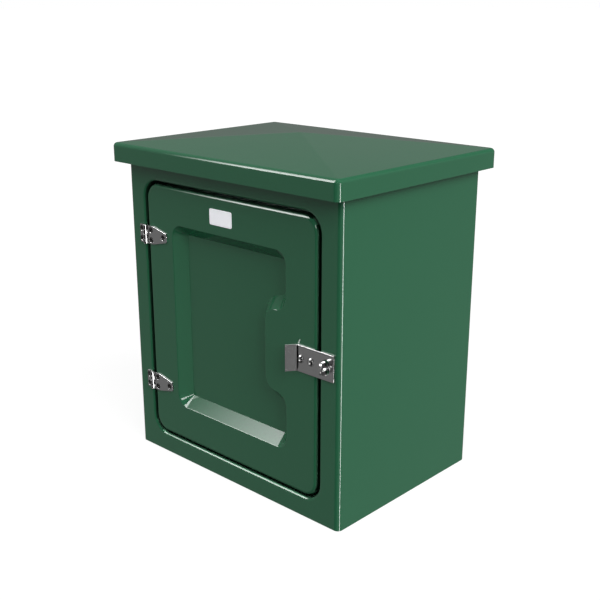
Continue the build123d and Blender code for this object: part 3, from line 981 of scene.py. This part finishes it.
def domed_bolt(head: float, rise: float, rim: float, shank: float, socket: float, length: float) -> Turning:
    """Turns a crown over a rim, and a threaded shank.

    The crown falls with the fifth power of the radius, from the socket's edge to the rim.

    Args:
        head: the head's radius.
        rise: the head's height.
        rim: the height of the rim.
        shank: the shank's radius.
        socket: the half width of the hexagon socket.
        length: the length over all.

    Returns:
        The turning.
    """
    crown, depth, edge = rise - rim, 1.3 * MM, 0.1 * MM
    bolt = Turning(segments=48).rings((0.0, -depth - 0.2 * MM), (socket, -depth, 1.0))
    bolt.rings((socket, -EDGE_CUT, 1.0), (socket * 1.2, 0.0))
    share = np.linspace(socket * 1.25 / head, 1.0, 14)
    bolt.rings(*zip(share * head, -crown * share**5))
    bolt.rings((head, -crown - EDGE_CUT), (head, edge - rise), (head - edge, -rise), (shank, -rise))
    return shank_end(bolt, shank, -rise, length)


def rounded_path(half_x: float, half_z: float, radius: float) -> tuple[np.ndarray, np.ndarray]:
    """Points and outward normals round a rectangle with round corners.

    Args:
        half_x: half the width.
        half_z: half the height.
        radius: the corner's radius.

    Returns:
        Points and normals, each steps times 4 by 2. Corner k's points are its centre plus the
        radius times the unit vector of an angle that runs over the quarter turn k.
    """
    steps = 12
    turn = np.linspace(0.0, math.pi / 2, steps)
    angle = (np.arange(4)[:, None] * math.pi / 2 + turn[None, :]).reshape(-1)
    normals = np.stack([np.cos(angle), np.sin(angle)], axis=-1)
    signs = np.repeat(np.array([(1, 1), (-1, 1), (-1, -1), (1, -1)]), steps, axis=0)
    centres = signs * np.array([half_x - radius, half_z - radius])
    return centres + radius * normals, normals


def merged_copy(node: str, bevel: float) -> Object:
    """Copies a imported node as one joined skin: flat faces shade flat and bends shade round.

    Args:
        node: the node's name.
        bevel: the width of a small rounding on the sharp edges, in metres, or 0.

    Returns:
        The copy.
    """
    sharp, flat = math.radians(32.0), math.radians(0.5)
    weld, sliver = 2e-6, 1e-7
    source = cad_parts[node]
    mesh = source.data.copy()
    mesh.transform(source.matrix_world)
    if "custom_normal" in mesh.attributes:
        mesh.attributes.remove(mesh.attributes["custom_normal"])
    edit = bmesh.new()
    edit.from_mesh(mesh)
    bmesh.ops.remove_doubles(edit, verts=edit.verts, dist=weld)
    bmesh.ops.dissolve_degenerate(edit, edges=edit.edges, dist=sliver)
    if bevel > 0.0:
        bmesh.ops.dissolve_limit(edit, angle_limit=flat, verts=edit.verts, edges=edit.edges)
    edit.to_mesh(mesh)
    edit.free()
    copy = smooth_object(node + ".skin", mesh, sharp)
    if bevel > 0.0:
        rounding = copy.modifiers.new("rounding", "BEVEL")
        rounding.width = bevel
        rounding.segments = 2
        rounding.limit_method = "ANGLE"
        rounding.angle_limit = sharp
    weights = copy.modifiers.new("weights", "WEIGHTED_NORMAL")
    weights.keep_sharp = True
    weights.weight = 90
    return copy


# Sub-assemblies


@dataclass
class Assembly:
    """Pieces of the cabinet that belong together. Each kind fills in build()."""

    finishes: Finishes

    def build(self) -> None:
        """Makes and dresses the pieces."""
        raise NotImplementedError

    def add(self, obj: Object, node: str, body: str, finish: Finish, slot: str) -> None:
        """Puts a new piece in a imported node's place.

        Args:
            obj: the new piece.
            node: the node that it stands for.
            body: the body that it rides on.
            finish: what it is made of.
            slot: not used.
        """
        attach(obj, body)
        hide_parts(node)
        self.finishes.dress(obj, finish)

    def turn(
        self, node: str, body: str, turning: Turning, facing: Facing, finish: Finish, slot: str
    ) -> None:
        """Puts a turning at the outer end of each solid of a node, in the node's place.

        Args:
            node: the node's name.
            body: the body that the pieces ride on.
            turning: the shape, with height 0 at its outer end.
            facing: the way that the outer end faces.
            finish: what they are made of.
            slot: handed on to add(), which does not use it.
        """
        grids = [turning.grid(box.end(facing), facing) for box in solids_of(node)]
        self.add(surface_object(node + ".turned", grids), node, body, finish, slot)


@dataclass
class Mouldings(Assembly):
    """The green body, door and roof."""

    edge: float = 1.2 * MM

    def build(self) -> None:
        """Joins the three mouldings and lays the gelcoat on them."""
        for node, body, edge, finish in (
            ("body_shell", "cabinet", 0.0, self.finishes.body),
            ("door_panel", "door", self.edge, self.finishes.door),
            ("roof_cap", "cabinet", 0.0, self.finishes.roof),
        ):
            self.add(merged_copy(node, edge), node, body, finish, "gelcoat_green")


@dataclass
class Hinges(Assembly):
    """Two strap hinges with their pins, screws, nuts and backing plates."""

    screw_head: float = 5.05 * MM
    screw_rise: float = 0.9 * MM
    screw_shank: float = 2.45 * MM
    screw_socket: float = 1.6 * MM
    socket_depth: float = 1.3 * MM
    nut_across: float = 8.0 * MM

    def build(self) -> None:
        """Dresses leaves, backing plates and pins, and makes the screws and nuts."""
        finishes = self.finishes
        for side in ("upper", "lower"):
            for part in ("frame_leaf", "door_leaf", "frame_backing", "door_backing"):
                finishes.dress_nodes(finishes.sheet, f"{side}_hinge_{part}")
            finishes.dress_nodes(finishes.turned, f"{side}_hinge_pin")
        for part, body in (("frame", "cabinet"), ("door", "door")):
            node = f"hinge_{part}_screws"
            sizes = (self.screw_head, self.screw_shank, self.screw_socket, self.socket_depth)
            screw = countersunk_screw(*sizes, length_of(node)).raised(self.screw_rise)
            self.turn(node, body, screw, Facing.OUT, finishes.black, "black_steel")
            node = f"hinge_{part}_nuts"
            nut = hex_nut(self.nut_across, length_of(node), self.screw_shank)
            self.turn(node, body, nut, Facing.IN, finishes.turned, "stainless")


@dataclass
class Latch(Assembly):
    """Latch plate with its bolts, and the turning padlock eye on the frame."""

    head: float = 6.8 * MM
    rise: float = 2.6 * MM
    rim: float = 0.5 * MM
    shank: float = 2.45 * MM
    socket: float = 2.0 * MM
    nut_across: float = 8.0 * MM
    washer_outer: float = 4.8 * MM
    eye_nut_across: float = 13.0 * MM
    eye_thread: float = 3.9 * MM
    eye_washer_outer: float = 9.0 * MM

    def build(self) -> None:
        """Dresses the plate and the eye, and makes their fasteners."""
        finishes = self.finishes
        finishes.dress_nodes(finishes.sheet, "hasp_plate", "staple_eye")
        finishes.dress_nodes(finishes.turned, "staple_spindle")
        finishes.dress_nodes(finishes.nylon, "staple_bush")
        bolt = domed_bolt(self.head, self.rise, self.rim, self.shank, self.socket, length_of("hasp_bolts"))
        self.turn("hasp_bolts", "door", bolt, Facing.OUT, finishes.turned, "stainless")
        for node, body, shape, width, bore in (
            ("hasp_nuts", "door", hex_nut, self.nut_across, self.shank),
            ("staple_nut", "staple", hex_nut, self.eye_nut_across, self.eye_thread),
            ("hasp_washers", "door", washer, self.washer_outer, self.shank),
            ("staple_washer", "staple", washer, self.eye_washer_outer, self.eye_thread),
        ):
            turning = shape(width, length_of(node), bore)
            self.turn(node, body, turning, Facing.IN, finishes.turned, "stainless")


@dataclass
class RoofFixings(Assembly):
    """Studs bonded under the roof, with their washers and nuts, and the seal beneath it."""

    disc: float = 9.0 * MM
    disc_thickness: float = 1.5 * MM
    stud: float = 2.95 * MM
    nut_across: float = 10.0 * MM
    washer_outer: float = 8.0 * MM

    def build(self) -> None:
        """Makes the studs, nuts and washers, and dresses the seal."""
        length, base = length_of("roof_studs", 2), self.disc_thickness
        stud = Turning(pitch=1.0 * MM, depth=0.55 * MM).rings((0.0, 0.0), (self.disc - 0.3 * MM, 0.0))
        stud.rings((self.disc, -0.3 * MM), (self.disc, 0.2 * MM - base), (self.disc - 0.2 * MM, -base))
        stud.ring(self.stud, -base).thread(self.stud, -base - 0.5 * MM, 0.5 * MM - length)
        stud.rings((self.stud - 0.6 * MM, -length), (0.0, -length))
        nut = hex_nut(self.nut_across, length_of("roof_nuts", 2), self.stud)
        ring = washer(self.washer_outer, length_of("roof_washers", 2), self.stud)
        for node, turning, facing in (
            ("roof_studs", stud, Facing.UP),
            ("roof_nuts", nut, Facing.DOWN),
            ("roof_washers", ring, Facing.DOWN),
        ):
            self.turn(node, "cabinet", turning, facing, self.finishes.zinc, "zinc_steel")
        self.finishes.dress_nodes(self.finishes.rubber, "roof_seal")


@dataclass
class DoorSeal(Assembly):
    """Bulb seal on the lip behind the door: a hollow-looking bead between two feet."""

    width: float = 12.0 * MM
    thickness: float = 5.0 * MM
    foot: float = 1.3 * MM
    corner_radius: float = 25.0 * MM

    def profile(self) -> np.ndarray:
        """The section across the seal: flat feet, and a half ellipse between them for the bead.

        Returns:
            Points as (across, rise), closed, from the outer foot over the bead to the inner one.
        """
        half, bead = self.width / 2, self.width * 0.30
        turn = np.linspace(0.0, math.pi, 15)
        arc = np.stack([bead * np.cos(turn), self.foot + (self.thickness - self.foot) * np.sin(turn)], axis=-1)
        right = np.array([(half, 0.0), (half, self.foot * 0.7), (half - 0.4 * MM, self.foot)])
        return np.concatenate([right, arc, right[::-1] * np.array([-1.0, 1.0]), right[:1]])

    def build(self) -> None:
        """Carries the section round the doorway."""
        low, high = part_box("door_seal")
        middle, size = (low + high) / 2, high - low
        half_width, half_height = (size.x - self.width) / 2, (size.z - self.width) / 2
        path, normals = rounded_path(half_width, half_height, self.corner_radius)
        across, rise = (column[:, None] for column in self.profile().T)
        east = middle.x + path[None, :, 0] + across * normals[None, :, 0]
        up = middle.z + path[None, :, 1] + across * normals[None, :, 1]
        grid = np.stack([east, high.y - rise + 0 * east, up], axis=-1)
        seal = surface_object("door_seal.bulb", [grid], inward=True)
        self.add(seal, "door_seal", "cabinet", self.finishes.rubber, "black_rubber")


@dataclass
class Board(Assembly):
    """Equipment board on two battens, held by four screws."""

    edge: float = 0.8 * MM

    def build(self) -> None:
        """Joins and dresses the board and battens, and dresses the screws."""
        for node, finish, slot in (
            ("backboard", self.finishes.ply, "plywood"),
            ("upper_batten", self.finishes.timber, "softwood"),
            ("lower_batten", self.finishes.timber, "softwood"),
        ):
            self.add(merged_copy(node, self.edge), node, "cabinet", finish, slot)
        self.finishes.dress_nodes(self.finishes.zinc, "backboard_screws")


@dataclass
class Plate(Assembly):
    """Blank white plate on the door, with round corners and a cut front edge."""

    share: float = 0.96
    corner: float = 3.0 * MM
    cut: float = 0.2 * MM

    def build(self) -> None:
        """Lays rounded rectangles from the back over the cut edge to the middle."""
        low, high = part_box("label_plate")
        middle, size = (low + high) / 2, (high - low) * self.share / 2
        rows = []
        for inset, y in ((0.0, high.y), (0.0, low.y + self.cut), (self.cut, low.y)):
            path, _ = rounded_path(size.x - inset, size.z - inset, self.corner - inset)
            ring = (middle.x + path[:, 0], np.full(len(path), y), middle.z + path[:, 1])
            rows.append(np.stack(ring, axis=-1))
        centre = np.array([middle.x, low.y, middle.z])
        rows.append(np.repeat(centre[None, :], len(rows[0]), axis=0))
        plate = surface_object("label_plate.face", [np.stack(rows)], smooth_angle=20.0)
        self.add(plate, "label_plate", "door", self.finishes.plate, "label_white")


# Studio


@dataclass(frozen=True)
class Softbox:
    """A part of the reflected surroundings with its own brightness.

    azimuth and elevation are its limits in degrees, with azimuth 0 on +X and -90 in front of the
    door. Its edges are soft over blur degrees.
    """

    azimuth: tuple[float, float]
    elevation: tuple[float, float]
    level: float
    blur: float = 3.0
    before: Triple | None = None
    fade: tuple[float, float] = (0.0, 1.0)

    def mask(self, g: Graph, direction: Input, azimuth: Input, elevation: Input) -> Input:
        """Marks the softbox's part of the surroundings.

        Args:
            g: the graph.
            direction: the unit direction from the object.
            azimuth: its azimuth in degrees.
            elevation: its elevation in degrees.

        Returns:
            A value that is 1 inside, and falls softly to 0 at the limits and, where before is
            given, with the cosine to that direction over the fade.
        """
        mask: Input = 1.0
        for value, (low, high) in ((azimuth, self.azimuth), (elevation, self.elevation)):
            mask = g.times(mask, g.ramp(value, low - self.blur, low + self.blur))
            mask = g.times(mask, g.ramp(value, high - self.blur, high + self.blur, 1.0, 0.0))
        if self.before is not None:
            mask = g.times(mask, g.ramp(g.dot(direction, self.before), *self.fade))
        return mask


FRONT_RIGHT = (0.690, -0.657, 0.305)
WHITE = (1.0, 1.0, 1.0, 1.0)


@dataclass
class Studio:
    """Camera, lamps, floor, and the surroundings that the gloss reflects.

    The floor is matt on a rectangle with the half sizes in covered, which the open body stands on.
    """

    camera_place: Triple = (1.1279, -1.1992, 0.8163)
    back_axis: Triple = (0.65334, -0.69414, 0.30220)
    up_axis: Triple = (-0.20712, 0.22006, 0.95326)
    lens: float = 57.45
    shift: float = 0.0003
    floor_reach: float = 60.0
    floor_drop: float = 0.3 * MM
    floor_tone: float = 0.9
    floor_glow: float = 1.12
    floor_shade: float = 0.22
    covered: tuple[float, float] = (0.245, 0.172)
    tent_radius: float = 8.0
    sky_level: float = 0.34
    floor_bounce: float = 0.16
    tent_level: float = 0.29
    key_pull: Triple = (0.580, -0.07, 0.44)
    key_angle: float = 50.0
    fill_pull: Triple = (-0.06, -0.10, 0.165)
    fill_angle: float = 70.0
    softboxes: tuple[Softbox, ...] = (
        # A dark field that the front faces, and the bands that its rounded edges and slopes catch.
        Softbox((-125.0, -60.0), (-60.0, 58.0), 0.0),
        Softbox((-139.0, -112.0), (29.0, 60.0), 12.0, 1.5, FRONT_RIGHT, (-0.05, 0.12)),
        Softbox((-170.0, -139.0), (30.0, 43.0), 8.5, 1.5, FRONT_RIGHT, (-0.07, 0.12)),
        Softbox((-150.0, -122.0), (8.0, 30.0), 13.0, 1.5, FRONT_RIGHT, (-0.05, 0.07)),
        Softbox((-65.5, -58.5), (15.0, 31.0), 12.0, 1.5),
        Softbox((-17.5, -6.5), (-36.0, 6.0), 16.0, 2.0),
        # Dim fields: two below the floor's level on the left, one behind, and two at the left behind.
        Softbox((-178.0, -100.0), (-88.0, -36.0), 0.08, 3.0),
        Softbox((125.0, 178.0), (-88.0, -28.0), 0.12, 3.0),
        Softbox((60.0, 116.0), (8.0, 70.0), 0.08, 4.0),
        Softbox((116.0, 175.0), (-9.0, 8.0), 0.16, 4.0),
        Softbox((116.0, 175.0), (8.0, 45.0), 0.225, 4.0),
    )

    def build(self) -> int:
        """Makes the whole studio.

        Returns:
            How many lamps it has.
        """
        self._camera()
        self._world()
        self._floor()
        self._tent()
        self._lamp("key", self.key_pull, self.key_angle)
        self._lamp("fill", self.fill_pull, self.fill_angle)
        return 2

    def _camera(self) -> None:
        """Sets the camera from its place and axes, level with the photograph's."""
        data = bpy.data.cameras.new("camera")
        data.lens = self.lens
        data.sensor_width = 36.0
        data.shift_y = self.shift
        camera = bpy.data.objects.new("camera", data)
        back, up = Vector(self.back_axis).normalized(), Vector(self.up_axis).normalized()
        right = up.cross(back).normalized()
        turn = Matrix((right, back.cross(right), back)).transposed().to_4x4()
        camera.matrix_world = Matrix.Translation(self.camera_place) @ turn
        bpy.context.scene.collection.objects.link(camera)
        bpy.context.scene.camera = camera

    def _world(self) -> None:
        """White to the camera and in reflections, and a plain level for the light that it sheds."""
        world = bpy.data.worlds.new("studio")
        world.use_nodes = True
        g = Graph(world.node_tree)
        rays = g.add("LightPath").outputs
        mirrored = g.math("MAXIMUM", rays["Is Glossy Ray"], rays["Is Transmission Ray"])
        seen = g.math("MAXIMUM", rays["Is Camera Ray"], mirrored)
        background = world.node_tree.nodes["Background"]
        background.inputs["Color"].default_value = WHITE
        g.feed(background, "Strength", g.blend(seen, self.sky_level, 1.0))
        world.cycles_visibility.glossy = False
        bpy.context.scene.world = world
        bpy.context.scene.view_settings.view_transform = "Standard"

    def _floor(self) -> None:
        """Pale floor that keeps the object's shadow, white to the camera and matt under the open body."""
        corners = np.array([(-1, -1), (1, -1), (1, 1), (-1, 1)]) * self.floor_reach
        points = np.column_stack([corners, np.full(4, -self.floor_drop)])
        mesh = bpy.data.meshes.new("floor")
        mesh.from_pydata(points.tolist(), [], [(0, 1, 2, 3)])
        floor = bpy.data.objects.new("floor", mesh)
        bpy.context.scene.collection.objects.link(floor)
        material, g = blank_material("pale_floor")
        shaded = g.add("BsdfDiffuse", {"Color": opaque_grey(self.floor_tone)}).outputs[0]
        white = g.add("Emission", {"Color": WHITE, "Strength": self.floor_glow}).outputs[0]
        away = [g.math("ABSOLUTE", part) for part in g.split(g.place())]
        under = g.times(*(g.math("LESS_THAN", part, half) for part, half in zip(away, self.covered)))
        seen = g.add("MixShader", {0: g.blend(under, self.floor_shade, 1.0), 1: white, 2: shaded}).outputs[0]
        plain = g.add("BsdfDiffuse", {"Color": opaque_grey(self.floor_bounce)}).outputs[0]
        camera = g.add("LightPath").outputs["Is Camera Ray"]
        g.feed(g.add("OutputMaterial"), 0, g.add("MixShader", {0: camera, 1: plain, 2: seen}).outputs[0])
        mesh.materials.append(material)
        floor.visible_glossy = False

    def _tent(self) -> None:
        """A soft grey tent round the object with a few softboxes, seen only in reflections.

        Each point lies at the tent's radius times the unit vector of its polar angle and azimuth.
        """
        rows, columns = 33, 64
        polar = np.linspace(0.0, math.pi, rows)[:, None]
        azimuth = np.linspace(0.0, 2 * math.pi, columns, endpoint=False)[None, :]
        east, north = np.sin(polar) * np.cos(azimuth), np.sin(polar) * np.sin(azimuth)
        grid = np.stack([east, north, np.cos(polar) + 0 * azimuth], axis=-1)
        tent = surface_object("surroundings", [grid * self.tent_radius], inward=True)
        material, g = blank_material("surroundings")
        direction = g.add("VectorMath", {0: g.place()}, operation="NORMALIZE").outputs[0]
        x, y, z = g.split(direction)
        turn = g.times(g.math("ARCTAN2", y, x), math.degrees(1.0))
        rise = g.times(g.math("ARCSINE", z), math.degrees(1.0))
        level: Input = self.tent_level
        for softbox in self.softboxes:
            level = g.blend(softbox.mask(g, direction, turn, rise), level, softbox.level)
        light = g.add("Emission", {"Color": WHITE, "Strength": level}).outputs[0]
        g.feed(g.add("OutputMaterial"), 0, light)
        tent.data.materials.append(material)
        for ray in ("camera", "diffuse", "transmission", "volume_scatter", "shadow"):
            setattr(tent, "visible_" + ray, False)

    @staticmethod
    def _lamp(name: str, pull: Triple, angle: float) -> None:
        """Adds a broad soft lamp so far off that its light is even.

        Args:
            name: the lamp's name.
            pull: the direction from the object to the lamp. Its length is the light that a white
                surface facing the lamp gives back.
            angle: how wide it looks from the object, in degrees.
        """
        data = bpy.data.lights.new(name, "SUN")
        data.energy = Vector(pull).length * math.pi
        data.angle = math.radians(angle)
        lamp = bpy.data.objects.new(name, data)
        lamp.rotation_euler = Vector(pull).to_track_quat("Z", "Y").to_euler()
        lamp.visible_glossy = False
        bpy.context.scene.collection.objects.link(lamp)


def opaque_grey(level: float) -> tuple[float, ...]:
    """Returns an opaque grey of that level."""
    return (level, level, level, 1.0)


def blank_material(name: str) -> tuple[bpy.types.Material, Graph]:
    """Makes a material with an empty tree.

    Args:
        name: the material's name.

    Returns:
        The material, and the tree's graph.
    """
    material = bpy.data.materials.new(name)
    material.use_nodes = True
    material.node_tree.nodes.clear()
    return material, Graph(material.node_tree)


# Surfaces


def smooth_object(name: str, mesh: bpy.types.Mesh, sharp: float) -> Object:
    """Makes a smooth object of a mesh.

    Args:
        name: the object's name.
        mesh: the mesh.
        sharp: the angle above which an edge stays sharp, in radians.

    Returns:
        The object.
    """
    mesh.polygons.foreach_set("use_smooth", np.ones(len(mesh.polygons), dtype=bool))
    mesh.set_sharp_from_angle(angle=sharp)
    obj = bpy.data.objects.new(name, mesh)
    bpy.context.scene.collection.objects.link(obj)
    return obj


def surface_object(
    name: str, grids: list[np.ndarray], inward: bool = False, smooth_angle: float = 35.0
) -> Object:
    """Makes one object of several grids of points, each closed from its last column to its first.

    Args:
        name: the object's name.
        grids: arrays of rows by columns by 3, each a surface of two parameters.
        inward: whether the faces point to the inside.
        smooth_angle: the angle above which an edge stays sharp, in degrees.

    Returns:
        The object, with poles and seams merged.
    """
    points, faces, start = [], [], 0
    for grid in grids:
        left = np.arange(grid[..., 0].size).reshape(grid.shape[:2]) + start
        right = np.roll(left, -1, axis=1)
        quads = np.stack([left[:-1], left[1:], right[1:], right[:-1]], axis=-1).reshape(-1, 4)
        faces.append(quads[:, ::-1] if inward else quads)
        points.append(grid.reshape(-1, 3))
        start += left.size
    mesh = bpy.data.meshes.new(name)
    mesh.from_pydata(np.concatenate(points).tolist(), [], np.concatenate(faces).tolist())
    edit = bmesh.new()
    edit.from_mesh(mesh)
    bmesh.ops.remove_doubles(edit, verts=edit.verts, dist=1e-7)
    edit.to_mesh(mesh)
    edit.free()
    return smooth_object(name, mesh, math.radians(smooth_angle))


def main() -> None:
    """Builds the studio and dresses the cabinet, piece by piece."""
    logging.basicConfig(level=logging.INFO, format="%(name)s: %(message)s")
    LOG.info("studio with %d lamps", Studio().build())
    finishes = Finishes(Effects())
    for kind in (Mouldings, Hinges, Latch, RoofFixings, DoorSeal, Board, Plate):
        kind(finishes).build()


if __name__ == "__main__":
    main()
